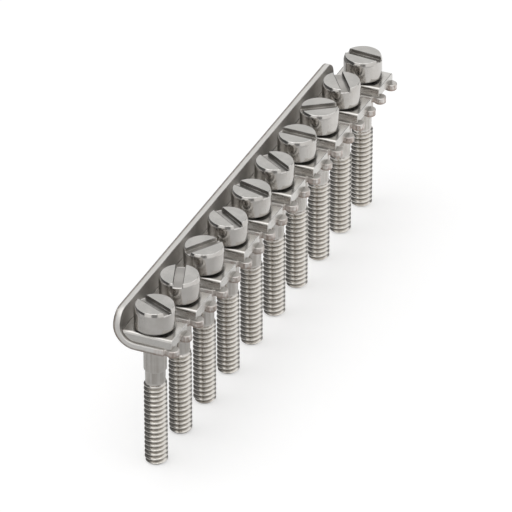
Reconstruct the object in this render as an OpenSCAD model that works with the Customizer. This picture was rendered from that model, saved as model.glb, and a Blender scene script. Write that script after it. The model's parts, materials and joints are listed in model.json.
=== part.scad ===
// Screw-type terminal jumper: a folded comb bar that links a row of terminals,
// with a captive slotted screw and a clamp washer at every pole.
// X runs from the flange to the fork ends, Y along the row, Z up from the screw tips.

/* [Row] */
// Number of poles in the row
poles = 10; // [2:1:12]
// Distance from one screw axis to the next
pitch = 10.2; // [9.2:0.1:16]

/* [Comb bar] */
// Thickness of the sheet
sheet_t = 1.25; // [0.8:0.05:1.5]
// Inside radius of the bend between tabs and flange
bend_r = 2.65; // [2.2:0.05:3.2]
// Height of the bar, from the underside of the tabs to the top of the flange
bar_h = 6.55; // [5.6:0.05:12]
// Distance from the screw axes to the outer face of the flange
flange_x = 5.95; // [5.8:0.05:8]
// Radius of the flange's two top corners
corner_r = 2.65; // [0.5:0.05:3.4]
// How far the flange stops short of the last tab's outer edge
far_setback = 6; // [1:0.1:6.4]
// Width of one tab
tab_w = 7.6; // [7:0.1:8.4]
// Width of the strip left between the gaps' closed ends and the outer face of the flange
web_w = 2.35; // [1.6:0.05:3.4]
// Height above the tab at which the last tab's sloping shoulder leaves the flange
shoulder_h = 1.3; // [0.4:0.1:2]

/* [Forks] */
// Distance from the screw axes to the ends of the prongs
prong_x = 5.55; // [5:0.05:7]
// Radius of the knob at the end of each prong
knob_r = 1.1; // [0.9:0.05:1.2]
// Opening between the two knobs, a little less than the screw's neck
mouth_w = 3.1; // [2.8:0.05:3.2]
// How far the prongs narrow behind the knobs
waist_depth = 0.45; // [0.2:0.05:0.6]
// Length of the narrow stretch of each prong
waist_l = 1.2; // [0.8:0.1:1.4]

/* [Clamp washers] */
// Distance from the screw axes to the outer end of a washer
washer_x = 4.5; // [3.8:0.1:5.5]
// Width of a washer, along the row
washer_w = 6.6; // [6:0.1:7.4]
// Thickness of a washer
washer_t = 1.85; // [1:0.05:2.4]
// Radius of the rounded upper edges of a washer
washer_edge_r = 0.6; // [0.1:0.05:0.9]

/* [Screws] */
// Diameter of the head
head_d = 7; // [6:0.1:7.4]
// Height of the head
head_h = 3.95; // [2.5:0.05:5]
// Height of the steep bevel around the top of the head
head_bevel_h = 0.8; // [0.1:0.05:1.5]
// How far that bevel leans in
head_bevel_w = 0.25; // [0.05:0.05:0.9]
// Width of the driver slot
slot_w = 1.65; // [0.8:0.05:2.2]
// Depth of the driver slot
slot_depth = 0.65; // [0.4:0.05:2]
// Turn of each driver slot, in degrees from the X axis
slot_turns = [-25, -71, 58, -34, -16, -33, -2, 35, -55, -6]; // [-90:1:90]
// Diameter of the neck that passes the washer and the fork
neck_d = 3.2; // [2.6:0.05:3.3]
// Diameter of the collar that carries the bar
collar_d = 3.95; // [3.7:0.05:4.2]
// Length of the collar
collar_l = 5; // [2:0.1:8]
// Diameter of the relief between collar and thread
relief_d = 3.45; // [3:0.05:3.6]
// Length of the relief
relief_l = 2.5; // [0.5:0.1:4]
// Outside diameter of the thread
thread_d = 4; // [3.8:0.1:4.4]
// Length of the thread, tip included
thread_l = 16; // [8:0.5:30]
// Distance from one thread crest to the next
thread_pitch = 0.9; // [0.85:0.05:1.2]
// Depth of the thread
thread_depth = 0.55; // [0.3:0.05:0.6]
// Width of a thread crest
thread_crest = 0.16; // [0.05:0.01:0.2]
// Chamfer at the tip
tip_chamfer = 0.5; // [0.2:0.05:1]

/* [Clearances] */
// Gap on each side of the neck in the fork
fork_clearance = 0.1; // [0.05:0.01:0.2]
// Gap around the neck in the washer's hole
hole_clearance = 0.15; // [0.05:0.01:0.3]
// Gap between the collar and the underside of the tab
seat_clearance = 0.05; // [0.02:0.01:0.2]
// Free travel between the washer and the head
head_gap = 0.4; // [0.1:0.05:0.8]
// Gap between a washer and the inside of the flange and bend
nest_clearance = 0.05; // [0.02:0.01:0.4]

/* [Hidden] */
$fn = 64;
cut = 1;

row_l = (poles - 1) * pitch;
bar_l = row_l + tab_w;
flange_l = bar_l - far_setback;
fork_w = neck_d + 2 * fork_clearance;
gap_w = pitch - tab_w;
gap_root_x = web_w - flange_x;

// Heights above the screw tips
collar_z = thread_l + relief_l;
neck_z = collar_z + collar_l;
tab_z = neck_z + seat_clearance;
washer_z = tab_z + sheet_t;
washer_top = washer_z + washer_t;
head_z = washer_top + head_gap;
head_top = head_z + head_h;
flange_top = tab_z + bar_h;

// The thread stands as a row of ring grooves, whose flanks lean at half the thread's angle
flank_angle = 30;
flank_w = thread_depth * tan(flank_angle);
groove_w = thread_pitch - thread_crest;
groove_z = tip_chamfer + thread_crest;
grooves = floor((thread_l - groove_z) / thread_pitch);

// Axis of the bend, and the two radii about it
bend_outer_r = bend_r + sheet_t;
bend_x = bend_outer_r - flange_x;
bend_z = tab_z + bend_outer_r;

// Inner end of a washer, just clear of the flange
washer_inner_x = sheet_t + nest_clearance - flange_x;

// Centres of the prong knobs
knob_x = prong_x - knob_r;
knob_y = mouth_w / 2 + knob_r;

// The footprint is centred on the origin, with the screw tips on the ground
shift_x = (flange_x - prong_x) / 2;
shift_y = -row_l / 2;

function two_digits(i) = i < 10 ? str("0", i) : str(i);
function washer_name(i) = str("clamp_washer_", two_digits(i + 1));
function screw_name(i) = str("terminal_screw_", two_digits(i + 1));

// Puts a piece into the part's frame at one pole
module at_pole(i) {
    translate([shift_x, shift_y + i * pitch, 0])
        children();
}

// Sweeps an outline drawn in X and Z along the row, from y0 over a length
module along_row(y0, length) {
    translate([0, y0 + length, 0])
        rotate([90, 0, 0])
            linear_extrude(length)
                children();
}

// Sweeps an outline drawn in Y and Z across the row, from x0 over a length
module across_row(x0, length) {
    translate([x0, 0, 0])
        rotate([90, 0, 90])
            linear_extrude(length)
                children();
}

// Rectangle standing on z0 whose two upper corners are round
module round_topped(u0, u1, z0, z1, r) {
    translate([u0, z0])
        square([u1 - u0, z1 - z0 - r]);
    translate([u0 + r, z0])
        square([u1 - u0 - 2 * r, z1 - z0]);
    for (u = [u0 + r, u1 - r])
        translate([u, z1 - r])
            circle(r);
}

// Section of the folded sheet: flange, quarter bend and the start of the tab
module folded_section() {
    translate([-flange_x, bend_z])
        square([sheet_t, flange_top - bend_z]);
    intersection() {
        translate([bend_x, bend_z])
            difference() {
                circle(bend_outer_r);
                circle(bend_r);
            }
        translate([-flange_x, tab_z])
            square(bend_outer_r);
    }
    translate([bend_x, tab_z])
        square([prong_x - bend_x, sheet_t]);
}

// Side view of what the far end loses: the flange stops short of the last tab
module far_end_relief() {
    flange_end = flange_l - tab_w / 2;
    tab_end = bar_l - tab_w / 2;
    polygon([
        [flange_end, flange_top + cut],
        [flange_end, washer_z + shoulder_h],
        [tab_end, washer_z],
        [tab_end + cut, washer_z],
        [tab_end + cut, flange_top + cut]
    ]);
}

// Side view of the flange with its two rounded top corners
module flange_outline() {
    y0 = -tab_w / 2;
    round_topped(y0, y0 + flange_l, tab_z, flange_top, corner_r);
    translate([y0, tab_z])
        square([bar_l, bend_z - tab_z]);
}

// Plan of one fork's prongs and their knobs, beyond the plain tab
module fork_cut() {
    waist_x = knob_x - waist_l;
    difference() {
        union() {
            circle(d = fork_w);
            translate([0, -fork_w / 2])
                square([prong_x + cut, fork_w]);
            for (side = [-1, 1])
                translate([waist_x, side * tab_w / 2 - waist_depth])
                    square([prong_x + cut - waist_x, 2 * waist_depth]);
            translate([knob_x, -tab_w / 2 - cut])
                square([knob_r + cut, tab_w + 2 * cut]);
        }
        for (side = [-1, 1])
            translate([knob_x, side * knob_y])
                circle(knob_r);
    }
}

// Plan of the gap between two neighbouring tabs, with a round closed end
module tab_gap() {
    centre_x = gap_root_x + gap_w / 2;
    translate([centre_x, 0])
        circle(d = gap_w);
    translate([centre_x, -gap_w / 2])
        square([prong_x + cut - centre_x, gap_w]);
}

module jumper_bar() {
    color("silver")
        at_pole(0)
            difference() {
                intersection() {
                    along_row(-tab_w / 2, bar_l)
                        folded_section();
                    across_row(-flange_x - cut, flange_x + prong_x + 2 * cut)
                        flange_outline();
                }
                across_row(-flange_x - cut, flange_x)
                    far_end_relief();
                for (i = [0 : poles - 1])
                    translate([0, i * pitch, tab_z - cut])
                        linear_extrude(sheet_t + 2 * cut)
                            fork_cut();
                for (i = [0 : poles - 2])
                    translate([0, (i + 0.5) * pitch, tab_z - cut])
                        linear_extrude(bend_outer_r + cut)
                            tab_gap();
            }
}

// Plate with two rounded upper edges and a square outer end; its inner end nests in the bend
module clamp_washer(i) {
    color("gainsboro")
        at_pole(i)
            difference() {
                across_row(washer_inner_x, washer_x - washer_inner_x)
                    round_topped(-washer_w / 2, washer_w / 2, washer_z, washer_top, washer_edge_r);
                along_row(-washer_w / 2 - cut, washer_w + 2 * cut)
                    difference() {
                        translate([-flange_x, tab_z])
                            square([bend_x + flange_x, bend_outer_r]);
                        translate([bend_x, bend_z])
                            circle(bend_r - nest_clearance);
                    }
                translate([0, 0, washer_z - cut])
                    cylinder(h = washer_t + 2 * cut, d = neck_d + 2 * hole_clearance);
            }
}

// Half section of one ring groove of the thread, from its lower edge upwards
function ring_groove(z) = [
    [thread_d / 2, z],
    [thread_d / 2 - thread_depth, z + flank_w],
    [thread_d / 2 - thread_depth, z + groove_w - flank_w],
    [thread_d / 2, z + groove_w]
];

// Half section of a screw, turned about its axis
module screw_profile() {
    polygon([
        [0, 0],
        [thread_d / 2 - tip_chamfer, 0],
        [thread_d / 2, tip_chamfer],
        for (i = [0 : grooves - 1]) each ring_groove(groove_z + i * thread_pitch),
        [thread_d / 2, thread_l],
        [relief_d / 2, thread_l],
        [relief_d / 2, collar_z],
        [collar_d / 2, collar_z],
        [collar_d / 2, neck_z],
        [neck_d / 2, neck_z],
        [neck_d / 2, head_z],
        [head_d / 2, head_z],
        [head_d / 2, head_top - head_bevel_h],
        [head_d / 2 - head_bevel_w, head_top],
        [0, head_top]
    ]);
}

module terminal_screw(i) {
    turn = slot_turns[i % len(slot_turns)];
    color("lightgray")
        at_pole(i)
            difference() {
                rotate_extrude()
                    screw_profile();
                translate([0, 0, head_top - slot_depth])
                    rotate([0, 0, turn])
                        translate([-head_d / 2 - cut, -slot_w / 2, 0])
                            cube([head_d + 2 * cut, slot_w, slot_depth + cut]);
            }
}

jumper_bar();
for (i = [0 : poles - 1])
    clamp_washer(i);
for (i = [0 : poles - 1])
    terminal_screw(i);
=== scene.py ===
import json
import math
from collections import Counter

import bpy
from mathutils import Matrix, Vector


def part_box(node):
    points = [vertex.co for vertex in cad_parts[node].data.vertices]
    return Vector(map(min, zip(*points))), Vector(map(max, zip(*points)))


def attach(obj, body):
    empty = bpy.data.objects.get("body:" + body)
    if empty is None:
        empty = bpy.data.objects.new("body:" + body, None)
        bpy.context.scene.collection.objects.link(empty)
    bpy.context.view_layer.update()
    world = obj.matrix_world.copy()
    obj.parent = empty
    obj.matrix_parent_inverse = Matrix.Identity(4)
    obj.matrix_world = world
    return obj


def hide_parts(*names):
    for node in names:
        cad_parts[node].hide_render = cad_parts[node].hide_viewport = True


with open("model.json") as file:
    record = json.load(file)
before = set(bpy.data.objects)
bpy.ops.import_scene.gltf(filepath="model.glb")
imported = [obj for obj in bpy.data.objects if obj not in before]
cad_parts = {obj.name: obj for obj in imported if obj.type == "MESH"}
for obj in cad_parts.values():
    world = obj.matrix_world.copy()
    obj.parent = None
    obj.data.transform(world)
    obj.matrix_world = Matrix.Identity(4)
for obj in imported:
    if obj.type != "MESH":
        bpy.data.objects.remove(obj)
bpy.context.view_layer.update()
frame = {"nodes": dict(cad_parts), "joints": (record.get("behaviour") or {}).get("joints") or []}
mm = 0.001
mergeWide, mergeFine, cutFine = 0.002 * mm, 0.001 * mm, 0.0001 * mm
wornSlot = 1
noiseMiddle, noiseRough = 0.5, 0.6
joints = frame["joints"]
axes = [Vector(joint["pos_m"]) for joint in joints]
barFoot, barTop = [corner.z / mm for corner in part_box("jumper_bar")]
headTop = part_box("terminal_screw_01")[1].z / mm
print("frame loaded:", len(frame["nodes"]), "solids")


def deselectAll():
    if bpy.context.object and bpy.context.object.mode != "OBJECT":
        bpy.ops.object.mode_set(mode="OBJECT")
    bpy.ops.object.select_all(action="DESELECT")


def takeUp(piece):
    deselectAll()
    bpy.context.view_layer.objects.active = piece
    piece.select_set(True)


def editAll(piece):
    takeUp(piece)
    bpy.ops.object.mode_set(mode="EDIT")
    bpy.ops.mesh.select_all(action="SELECT")


def applyModifier(piece, kind, **settings):
    takeUp(piece)
    modifier = piece.modifiers.new(kind.lower(), kind)
    for key, value in settings.items():
        setattr(modifier, key, value)
    bpy.ops.object.modifier_apply(modifier=modifier.name)


def joinBy(piece, tool, operation):
    applyModifier(piece, "BOOLEAN", object=tool, operation=operation, solver="EXACT")
    bpy.data.objects.remove(tool)


def smoothOver(piece, degrees):
    takeUp(piece)
    bpy.ops.object.shade_smooth_by_angle(angle=math.radians(degrees))
    applyModifier(piece, "WEIGHTED_NORMAL", keep_sharp=True, weight=80)


def copyOf(mesh, name):
    piece = bpy.data.objects.new(name, mesh.copy())
    bpy.context.scene.collection.objects.link(piece)
    return piece


def ringStack(name, profile, sides):
    # a disc is extruded upwards ring by ring; every ring is a radius and a height in millimetres
    deselectAll()
    radius, height = profile[0]
    bpy.ops.mesh.primitive_circle_add(
        vertices=sides, radius=radius * mm, fill_type="NGON", location=(0, 0, height * mm))
    piece = bpy.context.object
    piece.name = name
    bpy.ops.object.transform_apply(location=True, rotation=False, scale=False)
    editAll(piece)
    for (r0, z0), (r1, z1) in zip(profile, profile[1:]):
        bpy.ops.mesh.extrude_region_move(TRANSFORM_OT_translate={"value": (0, 0, (z1 - z0) * mm)})
        bpy.ops.transform.resize(value=(r1 / r0, r1 / r0, 1), center_override=(0, 0, z1 * mm))
    bpy.ops.mesh.select_all(action="SELECT")
    bpy.ops.mesh.normals_make_consistent(inside=False)
    bpy.ops.object.mode_set(mode="OBJECT")
    return piece


def breakEdges(piece, look):
    # sharp edges are bevelled; the new faces take the second, empty material slot as a mark
    for _ in range(wornSlot + 1):
        piece.data.materials.append(None)
    applyModifier(
        piece, "BEVEL", width=look["edgeRound"] * mm, segments=look["edgeSteps"], limit_method="ANGLE",
        angle_limit=math.radians(look["edgeAngle"]), use_clamp_overlap=False, material=wornSlot)


def finishPiece(piece, metal):
    # the marked faces become an attribute that the finish reads as wear along the edges
    mesh = piece.data
    worn = [face.index for face in mesh.polygons if face.material_index == wornSlot]
    wear = mesh.attributes.new("edgeWear", "FLOAT", "FACE")
    for face in worn:
        wear.data[face].value = 1.0
    for face in mesh.polygons:
        face.material_index = 0
    mesh.materials.clear()
    mesh.materials.append(metal)


def roundedCopy(node, name, look):
    # the solid's own shape, with its corners broken as tumbling and plating leave them
    piece = copyOf(frame["nodes"][node].data, name)
    piece.data.materials.clear()
    editAll(piece)
    bpy.ops.mesh.remove_doubles(threshold=mergeWide)
    bpy.ops.mesh.dissolve_limited(angle_limit=math.radians(look["flatAngle"]))
    bpy.ops.object.mode_set(mode="OBJECT")
    breakEdges(piece, look)
    editAll(piece)
    bpy.ops.mesh.remove_doubles(threshold=mergeFine)
    bpy.ops.mesh.normals_make_consistent(inside=False)
    bpy.ops.object.mode_set(mode="OBJECT")
    smoothOver(piece, look["smoothAngle"])
    return piece


def standAimed(name, data, place, aim):
    # cameras and lamps look along their own -Z
    stand = bpy.data.objects.new(name, data)
    bpy.context.scene.collection.objects.link(stand)
    stand.location = place
    stand.rotation_mode = "QUATERNION"
    stand.rotation_quaternion = (Vector(aim) - Vector(place)).to_track_quat("-Z", "Y")
    return stand


class Wire:
    # a socket of a node tree; sums and products of wires add their own Math nodes

    def __init__(self, tree, socket=None):
        self.tree = tree
        self.socket = socket

    def node(self, kind, settings=None, inputs=None, output=0):
        made = self.tree.nodes.new(kind)
        for key, value in (settings or {}).items():
            setattr(made, key, value)
        for key, value in (inputs or {}).items():
            if isinstance(value, Wire):
                self.tree.links.new(value.socket, made.inputs[key])
            else:
                made.inputs[key].default_value = value
        return Wire(self.tree, made.outputs[output] if len(made.outputs) else None)

    def maths(self, operation, first, second=0.0):
        return self.node("ShaderNodeMath", {"operation": operation}, {0: first, 1: second})

    def __add__(self, other):
        return self.maths("ADD", self, other)

    def __radd__(self, other):
        return self.maths("ADD", other, self)

    def __sub__(self, other):
        return self.maths("SUBTRACT", self, other)

    def __rsub__(self, other):
        return self.maths("SUBTRACT", other, self)

    def __mul__(self, other):
        return self.maths("MULTIPLY", self, other)

    def __rmul__(self, other):
        return self.maths("MULTIPLY", other, self)

    def __truediv__(self, other):
        return self.maths("DIVIDE", self, other)

    def __pow__(self, other):
        return self.maths("POWER", self, other)

    def __mod__(self, other):
        return self.maths("FLOORED_MODULO", self, other)

    def axes(self):
        # x, y and z of a vector
        split = self.node("ShaderNodeSeparateXYZ", inputs={0: self})
        return [Wire(self.tree, out) for out in split.socket.node.outputs]

    def size(self):
        return self.maths("ABSOLUTE", self)

    def orElse(self, other):
        return self.maths("MAXIMUM", self, other)

    def atMost(self, other):
        return self.maths("MINIMUM", self, other)

    def between(self, low, high):
        # 0 below low, 1 above high
        return self.node("ShaderNodeMapRange", {"clamp": True}, {0: self, 1: low, 2: high, 3: 0.0, 4: 1.0})

    def betweenMm(self, low, high, base=0.0):
        # the same for a place, in millimetres from a base
        return self.between((base + low) * mm, (base + high) * mm)

    def lifted(self, base, gain):
        # base where this is 0, and base plus gain where it is 1
        return base + self * gain

    def swing(self):
        # a noise that goes up and down about 0
        return self - noiseMiddle


def newMaterial(name):
    material = bpy.data.materials.new(name)
    material.use_nodes = True
    material.node_tree.nodes.clear()
    return material, Wire(material.node_tree)


def grey(shade):
    return (shade, shade, shade, 1)


# camera: fitted to the row of heads in the photograph, so its places count from the middle of their tops
cameraSet = {
    "azimuth": 23.03,
    "elevation": 31.44,
    "stand": (0.0, 0.0, -15.15),
    "distance": 896.2,
    "aim": (-0.86, -1.049, -16.179),
    "focalPixels": 5144.2,
    "framePixels": 512,
    "sensorWidth": 36,
    "nearest": 0.05,
    "farthest": 20,
}


def makeCamera(look):
    turn, tip = math.radians(look["azimuth"]), math.radians(look["elevation"])
    back = Vector((math.sin(turn) * math.cos(tip), -math.cos(turn) * math.cos(tip), math.sin(tip)))
    data = bpy.data.cameras.new("camera")
    data.sensor_width = look["sensorWidth"]
    data.lens = look["focalPixels"] / look["framePixels"] * data.sensor_width
    data.clip_start, data.clip_end = look["nearest"], look["farthest"]
    middle = Vector((axes[0].x, (axes[0].y + axes[-1].y) / 2, headTop * mm))
    place = middle + (Vector(look["stand"]) + back * look["distance"]) * mm
    bpy.context.scene.camera = standAimed("camera", data, place, middle + Vector(look["aim"]) * mm)


makeCamera(cameraSet)
print("camera placed")


# metals: a mark starts and is full at the two numbers of its pair; a share of two is a base and a gain
def noiseOn(wire, place, scale, detail, stretch=(1, 1, 1)):
    # scale counts patches to the metre; a stretch below 1 draws them out along that axis
    drawn = wire.node("ShaderNodeMapping", {"vector_type": "POINT"}, {"Vector": place, "Scale": stretch})
    return wire.node(
        "ShaderNodeTexNoise", {"noise_dimensions": "3D"},
        {"Vector": drawn, "Scale": scale, "Detail": detail, "Roughness": noiseRough})


def surfaceOf(wire):
    # place, normal and edge wear at a point of the surface
    place = wire.node("ShaderNodeTexCoord", output="Object")
    facing = wire.node("ShaderNodeTexCoord", output="Normal")
    wear = wire.node("ShaderNodeAttribute", {"attribute_name": "edgeWear"}, output="Fac")
    return place, facing, wear


def radiusOn(x, y):
    # distance from the axis of the nearest screw
    pitch = (axes[1] - axes[0]).y
    besideX = x - axes[0].x
    besideY = (y - axes[0].y + pitch / 2) % pitch - pitch / 2
    return (besideX * besideX + besideY * besideY) ** 0.5


def tintsOver(wire, look, layers):
    # each layer covers its share of the plating and of the layers before it
    colour = look["plating"]
    for share, tint in layers:
        colour = wire.node(
            "ShaderNodeMix", {"data_type": "RGBA"}, {0: share, 6: colour, 7: look[tint]}, output=2)
    return colour


def plateOver(wire, colour, rough, height, depth):
    # depth is that of the height's full range, in millimetres
    dents = wire.node("ShaderNodeBump", {}, {"Strength": 1.0, "Distance": depth * mm, "Height": height})
    shader = wire.node(
        "ShaderNodeBsdfPrincipled", {},
        {"Base Color": colour, "Metallic": 1.0, "Roughness": rough, "Normal": dents})
    wire.node("ShaderNodeOutputMaterial", {}, {"Surface": shader})


# comb bar: one folded sheet, plated before it was sheared
barLook = {
    "flatAngle": 0.5, "edgeRound": 0.2, "edgeSteps": 3, "edgeAngle": 35, "smoothAngle": 32,
    "plating": (0.63, 0.61, 0.585, 1), "stain": (0.54, 0.515, 0.485, 1), "wearAndHighlight": (0.78, 0.765, 0.74, 1),
    "coreAndShade": (0.27, 0.225, 0.195, 1), "warmCoreAndShade": (0.48, 0.37, 0.32, 1),
    "cloud": (330, 4), "grain": (3600, 3, (1, 0.03, 1)), "speck": (2100, 4, (1, 1, 0.3)), "wave": (210, 1),
    "cutFacing": (0.35, 0.6), "topCutFacing": (0.5, 0.8), "upFacing": (0.4, 0.8), "underFacing": (0.5, 0.9),
    "endCutFrom": (2.0, 2.4), "topCutFrom": (-0.3, -0.1), "forkCutFrom": (1.5, 2.5), "prongFrom": (4.4, 4.8),
    "bendRadius": 3.9, "tornDepth": 0.42, "tornFade": 0.15, "tornWander": 0.2,
    "stainPatches": (0.45, 0.75), "stainShare": 0.8, "cutSheenShare": 0.8,
    "tornSpecks": (0.3, 0.62), "tornShare": (0.55, 0.45), "forkSpecks": (0.35, 0.6), "forkShare": 0.6,
    "prongSpecks": (0.4, 0.65), "prongShare": (0.1, 0.6), "prongTopShare": 0.85,
    "underPatches": (0.3, 0.6), "underShadeShare": 0.8,
    "wearSpecks": (0.35, 0.7), "wearShare": 0.7, "prongWearLess": 0.4,
    "rough": 0.46, "grainRough": 0.05, "cloudRough": 0.1, "cutRough": 0.06, "prongShine": 0.24,
    "waveDepth": 0.005, "grainHeight": 0.04, "cutHeight": 0.15, "prongHeight": 1.2, "prongTopLess": 0.8,
}


def stripMetal(look):
    # sheared faces are painted lighter, partly their burnished metal and partly a painted sheen; they are
    # torn along the outer face of the fold, where the warm core shows
    material, wire = newMaterial("platedStrip")
    place, facing, wear = surfaceOf(wire)
    x, _, z = place.axes()
    across, along, up = facing.axes()
    cloud = noiseOn(wire, place, *look["cloud"])
    grain = noiseOn(wire, place, *look["grain"])
    speck = noiseOn(wire, place, *look["speck"])
    wave = noiseOn(wire, place, *look["wave"])

    sideCut = along.size().between(*look["cutFacing"])
    endCut = x.betweenMm(*look["endCutFrom"]) * across.size().between(*look["cutFacing"])
    topCut = z.betweenMm(*look["topCutFrom"], barTop) * up.between(*look["topCutFacing"])
    sheared = sideCut.orElse(endCut).orElse(topCut)
    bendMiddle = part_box("jumper_bar")[0] + Vector((1, 0, 1)) * look["bendRadius"] * mm
    beside, below = (x - bendMiddle.x).atMost(0.0), (z - bendMiddle.z).atMost(0.0)
    depth = look["bendRadius"] - (beside * beside + below * below) ** 0.5 / mm
    tornEnd = look["tornDepth"] + cloud * look["tornWander"]
    torn = (1 - depth.between(look["tornDepth"] - look["tornFade"], tornEnd)) * sheared
    tornSpecks = speck.between(*look["tornSpecks"]).lifted(*look["tornShare"])
    forkCut = sheared * x.betweenMm(*look["forkCutFrom"]) * speck.between(*look["forkSpecks"])
    prongEnd = x.betweenMm(*look["prongFrom"])
    prongSpecks = speck.between(*look["prongSpecks"]).lifted(*look["prongShare"])
    upward = up.between(*look["upFacing"])
    under = (0 - up).between(*look["underFacing"])
    edgeWear = wear * speck.between(*look["wearSpecks"]) * (1 - torn)

    colour = tintsOver(wire, look, [
        (cloud.between(*look["stainPatches"]) * look["stainShare"], "stain"),
        # cut faces: a painted sheen, lighter than the plating, over burnished metal
        (sheared * look["cutSheenShare"], "wearAndHighlight"),
        (torn * tornSpecks, "coreAndShade"),
        (forkCut * look["forkShare"], "warmCoreAndShade"),
        # knob ends: the core shows on their cut sides, and sides and undersides are painted darker than the
        # tops, a painted shade
        (prongEnd * prongSpecks * (1 - upward * look["prongTopShare"]), "coreAndShade"),
        # downward faces: a painted warm shade, in patches
        (under * cloud.between(*look["underPatches"]) * look["underShadeShare"], "warmCoreAndShade"),
        (edgeWear * (look["wearShare"] - prongEnd * look["prongWearLess"]), "wearAndHighlight"),
    ])
    rough = look["rough"] + grain.swing() * look["grainRough"] + cloud.swing() * look["cloudRough"] \
        + sheared * look["cutRough"] - prongEnd * (1 - upward) * look["prongShine"]
    pitted = sheared * look["cutHeight"] + prongEnd * (look["prongHeight"] - upward * look["prongTopLess"])
    height = wave + grain * look["grainHeight"] + speck * pitted
    plateOver(wire, colour, rough, height, look["waveDepth"])
    return material


bar = roundedCopy("jumper_bar", "combBar", barLook)
finishPiece(bar, stripMetal(barLook))
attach(bar, "bar")
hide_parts("jumper_bar")
print("comb bar rounded:", len(bar.data.polygons), "faces")

# clamp washers: one is rounded, the others are copies a pole further on
washerLook = {
    "flatAngle": 0.5, "edgeRound": 0.12, "edgeSteps": 3, "edgeAngle": 35, "smoothAngle": 34,
    "plating": (0.60, 0.585, 0.56, 1), "stain": (0.52, 0.50, 0.47, 1), "wearAndHighlight": (0.70, 0.685, 0.665, 1),
    "shadeAndStreaks": (0.20, 0.19, 0.18, 1),
    "cloud": (420, 4), "speck": (2600, 4), "wave": (260, 1), "dentScale": 1100.0, "dentSmooth": 0.6,
    "ringInside": (2.7, 3.0), "ringOutside": (3.55, 3.9), "ringFacing": (0.8, 0.95), "headShadeShare": 0.35,
    "stainPatches": (0.45, 0.75), "stainShare": 0.8, "wearSpecks": (0.35, 0.65), "wearShare": 0.7,
    "rough": 0.22, "cloudRough": 0.16, "speckRough": 0.1, "ringRough": 0.12,
    "waveDepth": 0.010, "dentHeight": 0.25, "speckHeight": 0.05,
}


def tumbledMetal(look):
    # shallow dents and dull patches from tumbling in the drum, and a painted shade on the top face around
    # the foot of the head
    material, wire = newMaterial("tumbledPlate")
    place, facing, wear = surfaceOf(wire)
    radius = radiusOn(*place.axes()[:2])
    up = facing.axes()[2]
    cloud = noiseOn(wire, place, *look["cloud"])
    speck = noiseOn(wire, place, *look["speck"])
    wave = noiseOn(wire, place, *look["wave"])
    dent = wire.node(
        "ShaderNodeTexVoronoi", {"feature": "SMOOTH_F1"},
        {"Vector": place, "Scale": look["dentScale"], "Smoothness": look["dentSmooth"]})
    # a ring of painted shade on the top face, around the foot of the head
    ring = radius.betweenMm(*look["ringInside"]) * (1 - radius.betweenMm(*look["ringOutside"])) \
        * up.between(*look["ringFacing"])

    colour = tintsOver(wire, look, [
        (cloud.between(*look["stainPatches"]) * look["stainShare"], "stain"),
        (ring * look["headShadeShare"], "shadeAndStreaks"),
        (wear * speck.between(*look["wearSpecks"]) * look["wearShare"], "wearAndHighlight"),
    ])
    rough = look["rough"] + cloud.swing() * look["cloudRough"] + speck.swing() * look["speckRough"] \
        + ring * look["ringRough"]
    height = wave + dent * look["dentHeight"] + speck * look["speckHeight"]
    plateOver(wire, colour, rough, height, look["waveDepth"])
    return material


firstWasher = roundedCopy("clamp_washer_01", "clampWasher01", washerLook)
finishPiece(firstWasher, tumbledMetal(washerLook))
for count, axis in enumerate(axes, 1):
    washer = firstWasher
    if count > 1:
        washer = copyOf(firstWasher.data, "clampWasher%02d" % count)
        washer.data.transform(Matrix.Translation(axis - axes[0]))
    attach(washer, "bar")
    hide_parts("clamp_washer_%02d" % count)
print("clamp washers placed:", len(axes))

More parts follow.
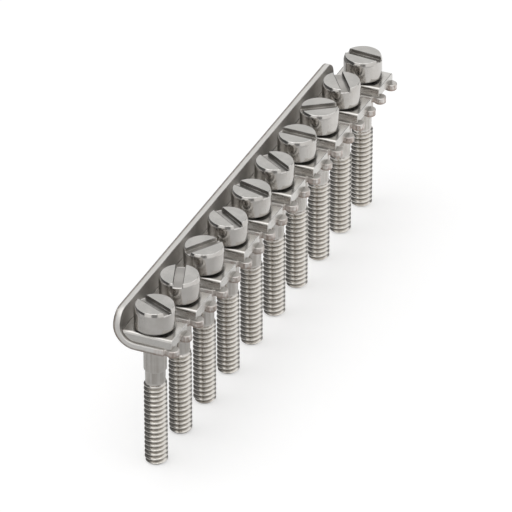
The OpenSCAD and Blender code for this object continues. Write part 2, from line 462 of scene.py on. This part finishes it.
# terminal screws: turned, slotted and threaded once, then copied with each slot at its own turn
screwLook = {
    "sides": 96,
    "headRadius": 3.5, "headHeight": 3.95, "bevelHeight": 0.8, "bevelWidth": 0.25,
    "bevelLead": 0.08, "bevelEase": 0.01, "bevelRise": 0.04,
    "slotWidth": 1.65, "slotDepth": 0.65,
    "neckRadius": 1.6, "collarRadius": 1.975, "collarLength": 5.0, "collarGap": 0.05,
    "reliefRadius": 1.725, "reliefDrop": 0.3, "coreRadius": 1.36, "coreFoot": 0.6,
    "threadRadius": 2.0, "rootRadius": 1.45, "threadTop": 16.0, "threadPitch": 0.9, "threadSides": 48,
    "leadTurns": 2, "spareTurns": 4, "threadSpare": 0.7,
    "runOut": 2.4, "tipChamfer": 0.5,
    "blankSpare": 0.1, "blankInset": 0.15, "blankDrop": 0.35, "blankRise": 0.2,
    "edgeRound": 0.07, "edgeSteps": 2, "edgeAngle": 60, "smoothAngle": 38, "unionTries": 8,
    "slotTurns": (-25, -71, 58, -34, -16, -33, -2, 35, -55, -6),
    "plating": (0.57, 0.55, 0.525, 1), "stain": (0.49, 0.465, 0.435, 1), "wearAndHighlight": (0.86, 0.85, 0.83, 1),
    "shadedTop": (0.45, 0.44, 0.42, 1), "litThread": (0.75, 0.72, 0.675, 1),
    "shadeAndStreaks": (0.31, 0.285, 0.255, 1), "slotAndFootShade": (0.23, 0.22, 0.205, 1),
    "cloud": (380, 4), "speck": (2800, 4), "wave": (230, 1),
    "lines": (2400, 3, (0.04, 0.04, 1)), "streaks": (1500, 2, (1, 1, 0.03)),
    "ringWidth": 0.16, "ringWander": 3.0,
    "topFacing": (0.85, 0.97), "topFrom": (-0.1, -0.05), "sideFacing": (0.1, 0.4), "sideFrom": (0.3, 0.6),
    "threadTo": (-0.4, 0.1), "rootTo": (0.05, 0.3), "shankFrom": (0.1, 0.4), "shankTo": (-0.4, 0.0),
    "footFrom": (-0.05, 0.0), "footTo": (0.1, 0.25),
    "slotFrom": (-0.1, 0.0), "slotTo": (-0.35, -0.3), "slotEndFrom": (0.9, 1.9),
    "stainPatches": (0.45, 0.75), "stainShare": 0.8, "shadedTopPatches": (0.4, 0.6), "shadedTopShare": (0.6, 0.4),
    "litThreadShare": 0.9, "rootSpecks": (0.25, 0.55), "rootShadeShare": (0.5, 0.5),
    "streakPatches": (0.42, 0.62), "streakShare": 0.55, "footShadeShare": 0.7, "slotShadeShare": (0.3, 0.25),
    "wearSpecks": (0.35, 0.65), "wearShare": 0.7,
    "rough": 0.15, "cloudRough": 0.1, "lineRough": 0.2, "ringRough": 0.02,
    "threadRough": 0.08, "slotRough": 0.16,
    "waveDepth": 0.008, "ringHeight": 0.06, "lineHeight": 0.12, "streakHeight": 0.5, "speckHeight": 0.2,
}


def turnedMetal(look):
    # turning rings about every screw's own axis; threads painted lighter, a painted light; painted shade in
    # the thread roots, the slots, under the head and on its top; darker streaks on the shank; worn edges
    # bright, partly a painted highlight
    material, wire = newMaterial("turnedPlate")
    place, facing, wear = surfaceOf(wire)
    x, y, z = place.axes()
    up = facing.axes()[2]
    radius = radiusOn(x, y)
    cloud = noiseOn(wire, place, *look["cloud"])
    speck = noiseOn(wire, place, *look["speck"])
    lines = noiseOn(wire, place, *look["lines"])
    streaks = noiseOn(wire, place, *look["streaks"])
    wave = noiseOn(wire, place, *look["wave"])
    rings = wire.maths("SINE", radius * (math.tau / look["ringWidth"] / mm) + cloud * look["ringWander"])

    threadTop, headFoot = look["threadTop"], headTop - look["headHeight"]
    top = up.between(*look["topFacing"]) * z.betweenMm(*look["topFrom"], headTop)
    side = (1 - up.size().between(*look["sideFacing"])) * z.betweenMm(*look["sideFrom"], threadTop)
    thread = 1 - z.betweenMm(*look["threadTo"], threadTop)
    root = thread * (1 - radius.betweenMm(*look["rootTo"], look["rootRadius"]))
    shank = z.betweenMm(*look["shankFrom"], threadTop) * (1 - z.betweenMm(*look["shankTo"], barFoot))
    foot = z.betweenMm(*look["footFrom"], headFoot) * (1 - z.betweenMm(*look["footTo"], headFoot))
    inSlot = z.betweenMm(*look["slotFrom"], headTop - look["slotDepth"]) * (1 - top) \
        * (1 - radius.betweenMm(*look["slotTo"], look["headRadius"]))
    slotEnd = radius.betweenMm(*look["slotEndFrom"])

    colour = tintsOver(wire, look, [
        (cloud.between(*look["stainPatches"]) * look["stainShare"], "stain"),
        # the top face of the head: a painted shade, darker in patches
        (top * cloud.between(*look["shadedTopPatches"]).lifted(*look["shadedTopShare"]), "shadedTop"),
        # the thread: the plating painted lighter, a painted light
        (thread * look["litThreadShare"], "litThread"),
        # thread roots: a painted shade, in specks
        (root * speck.between(*look["rootSpecks"]).lifted(*look["rootShadeShare"]), "shadeAndStreaks"),
        # the shank: darker streaks along the axis
        (shank * streaks.between(*look["streakPatches"]) * look["streakShare"], "shadeAndStreaks"),
        # a band at the foot of the head: painted shade under the head
        (foot * look["footShadeShare"], "slotAndFootShade"),
        # the slot: painted shade, darker towards its ends
        (inSlot * slotEnd.lifted(*look["slotShadeShare"]), "slotAndFootShade"),
        # worn edges painted bright: partly wear, partly a painted highlight
        (wear * speck.between(*look["wearSpecks"]) * look["wearShare"], "wearAndHighlight"),
    ])
    rough = look["rough"] + cloud.swing() * look["cloudRough"] + lines.swing() * side * look["lineRough"] \
        + rings * top * look["ringRough"] + thread * look["threadRough"] + inSlot * look["slotRough"]
    height = wave + rings * top * look["ringHeight"] + lines * side * look["lineHeight"] \
        + streaks * shank * look["streakHeight"] + speck * thread * look["speckHeight"]
    plateOver(wire, colour, rough, height, look["waveDepth"])
    return material


def turnedBody(look):
    collarTop = barFoot - look["collarGap"]
    collarFoot = collarTop - look["collarLength"]
    headFoot = headTop - look["headHeight"]
    bevelFoot = headTop - look["bevelHeight"]
    body = ringStack("terminalScrew", [
        (look["coreRadius"], look["coreFoot"]),
        (look["coreRadius"], look["threadTop"] - look["runOut"]),
        (look["reliefRadius"], look["threadTop"] - look["reliefDrop"]),
        (look["reliefRadius"], collarFoot),
        (look["collarRadius"], collarFoot),
        (look["collarRadius"], collarTop),
        (look["neckRadius"], collarTop),
        (look["neckRadius"], headFoot),
        (look["headRadius"], headFoot),
        (look["headRadius"], bevelFoot - look["bevelLead"]),
        (look["headRadius"] - look["bevelEase"], bevelFoot + look["bevelRise"]),
        (look["headRadius"] - look["bevelWidth"], headTop),
    ], look["sides"])
    # the cutter is longer than the head is wide, and stands out above it
    deselectAll()
    length, height = 3 * look["headRadius"], 2 * look["slotDepth"]
    bpy.ops.mesh.primitive_cube_add(size=1, location=(0, 0, (headTop - look["slotDepth"] + height / 2) * mm))
    cutter = bpy.context.object
    cutter.scale = (length * mm, look["slotWidth"] * mm, height * mm)
    bpy.ops.object.transform_apply(location=True, rotation=False, scale=True)
    joinBy(body, cutter, "DIFFERENCE")
    breakEdges(body, look)
    return body


def rolledThread(look):
    # one tooth is drawn as a line of points, each a radius and a share of the pitch, and wound up the axis
    pitch = look["threadPitch"]
    crest, root = look["threadRadius"], look["rootRadius"]
    tooth = [
        (root, 0.0), (root + 0.015, 0.04), (root + 0.05, 0.08), (crest - 0.1, 0.34), (crest - 0.03, 0.39),
        (crest, 0.46), (crest, 0.54), (crest - 0.03, 0.61), (crest - 0.1, 0.66), (root + 0.05, 0.92),
        (root + 0.015, 0.96), (root, 1.0),
    ]
    turns = math.ceil(look["threadTop"] / pitch) + look["spareTurns"]
    deselectAll()
    bpy.ops.mesh.primitive_plane_add(size=mm)
    thread = bpy.context.object
    editAll(thread)
    bpy.ops.mesh.merge(type="CENTER")
    bpy.ops.mesh.select_all(action="SELECT")
    bpy.ops.transform.translate(value=(root * mm, 0, -look["leadTurns"] * pitch * mm))
    for (r0, share0), (r1, share1) in zip(tooth, tooth[1:]):
        bpy.ops.mesh.extrude_region_move(
            TRANSFORM_OT_translate={"value": ((r1 - r0) * mm, 0, (share1 - share0) * pitch * mm)})
    bpy.ops.object.mode_set(mode="OBJECT")
    applyModifier(
        thread, "SCREW", axis="Z", angle=math.tau, screw_offset=pitch * mm, iterations=turns,
        steps=look["threadSides"], render_steps=look["threadSides"])
    editAll(thread)
    bpy.ops.mesh.remove_doubles(threshold=mergeWide)
    ends = ((-look["threadSpare"], "clear_inner"), (look["threadTop"] + look["threadSpare"], "clear_outer"))
    for height, side in ends:
        bpy.ops.mesh.select_all(action="SELECT")
        bpy.ops.mesh.bisect(
            plane_co=(0, 0, height * mm), plane_no=(0, 0, 1), threshold=cutFine, use_fill=True,
            **{side: True})
    bpy.ops.mesh.select_all(action="SELECT")
    bpy.ops.mesh.normals_make_consistent(inside=False)
    bpy.ops.object.mode_set(mode="OBJECT")
    # the blank cuts the chamfer at the tip and the run-out at the top
    blank = ringStack("threadBlank", [
        (crest - look["tipChamfer"], 0.0),
        (crest + look["blankSpare"], look["tipChamfer"] + look["blankSpare"]),
        (crest + look["blankSpare"], look["threadTop"] - look["blankDrop"]),
        (look["reliefRadius"] - look["blankInset"], look["threadTop"] + look["blankRise"]),
    ], look["sides"])
    joinBy(thread, blank, "INTERSECT")
    return thread


def isClosed(piece):
    # every edge belongs to just two faces
    shared = Counter(edge for face in piece.data.polygons for edge in face.edge_keys)
    return set(shared.values()) == {2}


def threadedScrew(look):
    # in a few runs the exact union leaves inner faces behind, so it is made again until the mesh is closed
    for _ in range(look["unionTries"]):
        screw = turnedBody(look)
        print("screw turned:", len(screw.data.polygons), "faces")
        joinBy(screw, rolledThread(look), "UNION")
        editAll(screw)
        bpy.ops.mesh.remove_doubles(threshold=mergeFine)
        bpy.ops.object.mode_set(mode="OBJECT")
        if isClosed(screw):
            return screw
        print("screw union not closed, made again")
        bpy.data.objects.remove(screw)
    raise RuntimeError("the screw's union was never closed")


firstScrew = threadedScrew(screwLook)
smoothOver(firstScrew, screwLook["smoothAngle"])
finishPiece(firstScrew, turnedMetal(screwLook))
print("screw threaded:", len(firstScrew.data.polygons), "faces")

for count, (joint, axis) in enumerate(zip(joints, axes), 1):
    screw = copyOf(firstScrew.data, "terminalScrew%02d" % count)
    turn = Matrix.Rotation(math.radians(screwLook["slotTurns"][count - 1]), 4, "Z")
    screw.data.transform(Matrix.Translation((axis.x, axis.y, 0)) @ turn)
    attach(screw, joint["child"])
    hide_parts("terminal_screw_%02d" % count)
bpy.data.objects.remove(firstScrew)
print("terminal screws placed:", len(axes))

# studio: white floor and backdrop, two soft lamps, and five cards that bright metal can mirror
studioLook = {
    "fill": 0.55,
    "floorSize": 6, "floorDrop": 0.02, "floorShade": 0.72, "floorGlow": 0.45,
    "cardFade": 0.12,
    "cards": {
        "sideFlag": (0.16, (-0.5, -1.0, -0.1), (0, 1.98, 0), (0, 0, 1.0)),
        "sideSheet": (0.30, (-0.55, -0.2, -0.00001), (0.54, 0, 0), (0, 0.55, 0)),
        "frontFlag": (0.42, (0.61, -0.73, -0.05), (-0.53, -0.21, 0), (0, 0, 0.45)),
        "backFlag": (0.30, (0.02, 0.5, -0.05), (0.33, -0.08, 0), (0, 0, 0.5)),
        "frontSheet": (0.74, (-0.25, -0.65, -0.00001), (0.6, 0, 0), (0, 0.69, 0)),
    },
    "lamps": {
        "floorLamp": ((-0.12, -0.15, 0.85), (0.9, 0.8), 1.25, "visible_glossy"),
        "shineLamp": ((-0.12, -0.15, 0.86), (0.9, 0.8), 0.75, "visible_diffuse"),
    },
}


def seenRays(wire):
    camera = wire.node("ShaderNodeLightPath", output="Is Camera Ray")
    glossy = wire.node("ShaderNodeLightPath", output="Is Glossy Ray")
    through = wire.node("ShaderNodeLightPath", output="Is Transmission Ray")
    return camera.orElse(glossy.orElse(through))


def makeWorld(look):
    world = bpy.data.worlds.new("studio")
    world.use_nodes = True
    world.node_tree.nodes.clear()
    wire = Wire(world.node_tree)
    strength = look["fill"] + seenRays(wire) * (1 - look["fill"])
    sky = wire.node("ShaderNodeBackground", {}, {"Color": grey(1), "Strength": strength})
    wire.node("ShaderNodeOutputWorld", {}, {"Surface": sky})
    bpy.context.scene.world = world


def makeFloor(look):
    deselectAll()
    bpy.ops.mesh.primitive_plane_add(size=look["floorSize"], location=(0, 0, -look["floorDrop"] * mm))
    floor = bpy.context.object
    floor.name = "studioFloor"
    material, wire = newMaterial("whiteFloor")
    matte = wire.node("ShaderNodeBsdfDiffuse", {}, {"Color": grey(look["floorShade"])})
    glow = wire.node("ShaderNodeEmission", {}, {"Strength": seenRays(wire) * look["floorGlow"]})
    both = wire.node("ShaderNodeAddShader", {}, {0: matte, 1: glow})
    wire.node("ShaderNodeOutputMaterial", {}, {"Surface": both})
    floor.data.materials.append(material)


def makeCard(name, fade, shade, corner, across, up):
    # only mirrors see a card; it thins out towards its edges
    deselectAll()
    bpy.ops.mesh.primitive_plane_add(size=1)
    card = bpy.context.object
    card.name = name
    corner, across, up = Vector(corner), Vector(across), Vector(up)
    middle = corner + (across + up) / 2
    square = Matrix((across, up, across.cross(up))).transposed().to_4x4()
    card.data.transform(Matrix.Translation(middle) @ square)
    material, wire = newMaterial(name)
    u, v = wire.node("ShaderNodeTexCoord", output="UV").axes()[:2]
    solid = u.between(0.0, fade) * (1 - u).between(0.0, fade) \
        * v.between(0.0, fade) * (1 - v).between(0.0, fade)
    matte = wire.node("ShaderNodeBsdfDiffuse", {}, {"Color": grey(shade)})
    clear = wire.node("ShaderNodeBsdfTransparent")
    both = wire.node("ShaderNodeMixShader", {}, {0: solid, 1: clear, 2: matte})
    wire.node("ShaderNodeOutputMaterial", {}, {"Surface": both})
    card.data.materials.append(material)
    card.visible_camera = False
    card.visible_diffuse = False
    card.visible_shadow = False


def makeLamp(name, place, size, glow, hiddenFrom):
    # glow is the brightness that a mirror would show; rays of the kind in hiddenFrom pass the lamp by
    data = bpy.data.lights.new(name, "AREA")
    data.shape = "RECTANGLE"
    data.size, data.size_y = size
    data.energy = glow * math.pi * size[0] * size[1]
    setattr(standAimed(name, data, place, (0, 0, 0)), hiddenFrom, False)


makeWorld(studioLook)
makeFloor(studioLook)
for name, card in studioLook["cards"].items():
    makeCard(name, studioLook["cardFade"], *card)
for name, lamp in studioLook["lamps"].items():
    makeLamp(name, *lamp)
bpy.context.scene.view_settings.view_transform = "Standard"
print("studio lit")
